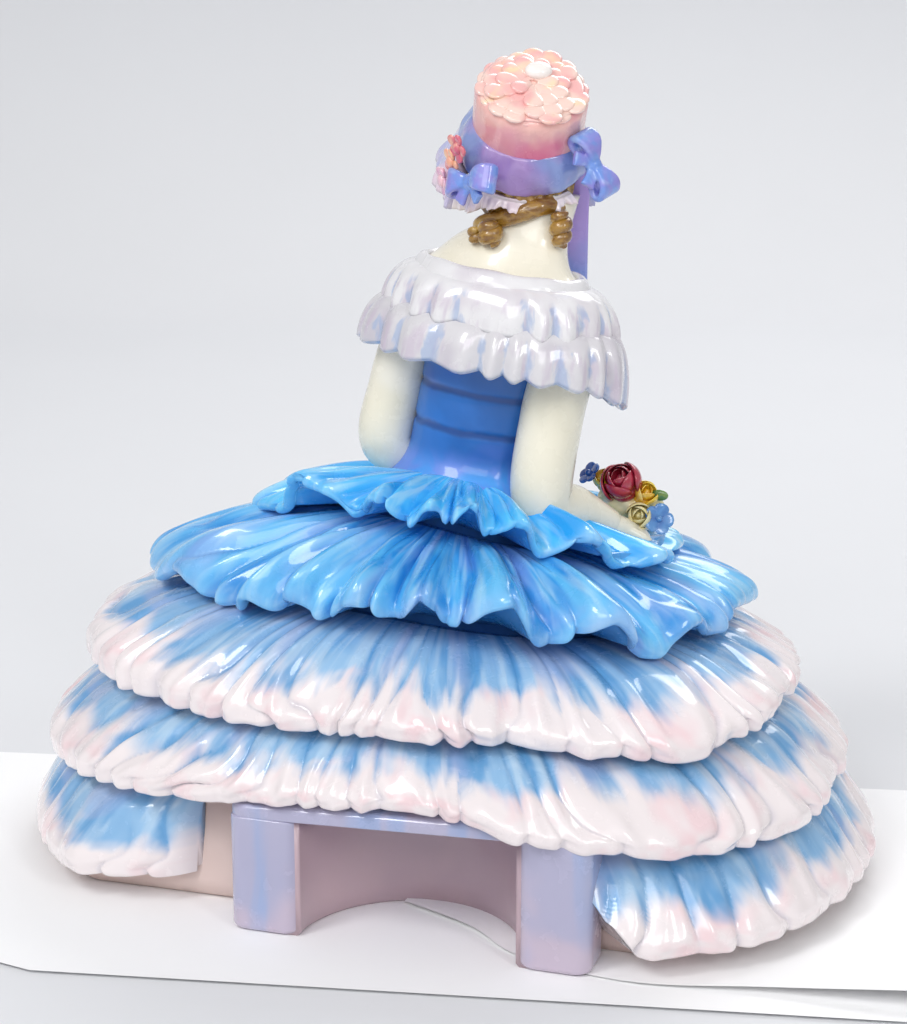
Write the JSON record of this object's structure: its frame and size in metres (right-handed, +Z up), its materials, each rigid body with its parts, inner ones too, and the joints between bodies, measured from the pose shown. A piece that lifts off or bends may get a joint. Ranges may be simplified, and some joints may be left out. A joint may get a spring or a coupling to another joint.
{
  "type": "porcelain lady figurine",
  "caption": "Seated porcelain lady in a tiered ball gown and bonnet on a low bench, holding a small bouquet; a free-standing ornament on a hollow open foot.",
  "frame": {"origin": "centre of the bounding box, on the floor the figurine stands on", "axes": "+X is the figure's right and the longest extent, +Y is the way the figure faces, +Z is up"},
  "size_m": [0.152, 0.1123, 0.1421],
  "materials": {
    "lilac_glaze": "gloss",
    "panel_glaze": "gloss",
    "skirt_glaze": "gloss",
    "bisque_foot": "matte",
    "blue_flounce_glaze": "gloss",
    "shaded_flounce_glaze": "gloss",
    "bodice_glaze": "gloss",
    "white_glaze": "gloss",
    "skin_glaze": "gloss",
    "hair_glaze": "gloss",
    "pink_glaze": "gloss",
    "violet_glaze": "gloss",
    "bow_glaze": "gloss",
    "red_glaze": "gloss",
    "yellow_glaze": "gloss",
    "blue_petal_glaze": "gloss",
    "green_glaze": "gloss"
  },
  "bodies": {
    "root": {"bench_seat": "lilac_glaze", "bench_leg_left": "lilac_glaze", "bench_leg_right": "lilac_glaze", "bench_back_panel": "panel_glaze", "skirt_body": "skirt_glaze", "petticoat_foot": "bisque_foot", "overskirt_flounce": "blue_flounce_glaze", "second_flounce": "blue_flounce_glaze", "third_flounce": "shaded_flounce_glaze", "fourth_flounce": "shaded_flounce_glaze", "hem_flounce": "shaded_flounce_glaze", "bodice": "bodice_glaze", "shoulders_and_neck": "skin_glaze", "collar_lower_ruffle": "white_glaze", "collar_upper_ruffle": "white_glaze", "collar_neck_band": "white_glaze", "left_arm": "skin_glaze", "left_hand": "skin_glaze", "right_arm": "skin_glaze", "right_hand": "skin_glaze", "head": "skin_glaze", "hair": "hair_glaze", "bonnet_crown": "pink_glaze", "bonnet_band": "violet_glaze", "bonnet_brim": "violet_glaze", "bonnet_curtain": "pink_glaze", "crown_rosette": "pink_glaze", "crown_button": "white_glaze", "bow_left": "bow_glaze", "bow_right": "bow_glaze", "brim_flower_top": "pink_glaze", "brim_flower_middle": "pink_glaze", "brim_flower_low": "pink_glaze", "bonnet_string": "violet_glaze", "ringlet_left_inner": "hair_glaze", "ringlet_left_outer": "hair_glaze", "ringlet_right": "hair_glaze", "nosegay": "yellow_glaze", "red_rose": "red_glaze", "yellow_rose_left": "yellow_glaze", "yellow_rose_right": "yellow_glaze", "cream_rose": "yellow_glaze", "blue_flower_left": "blue_petal_glaze", "blue_flower_right": "blue_petal_glaze", "leaf": "green_glaze"}
  },
  "joints": []
}
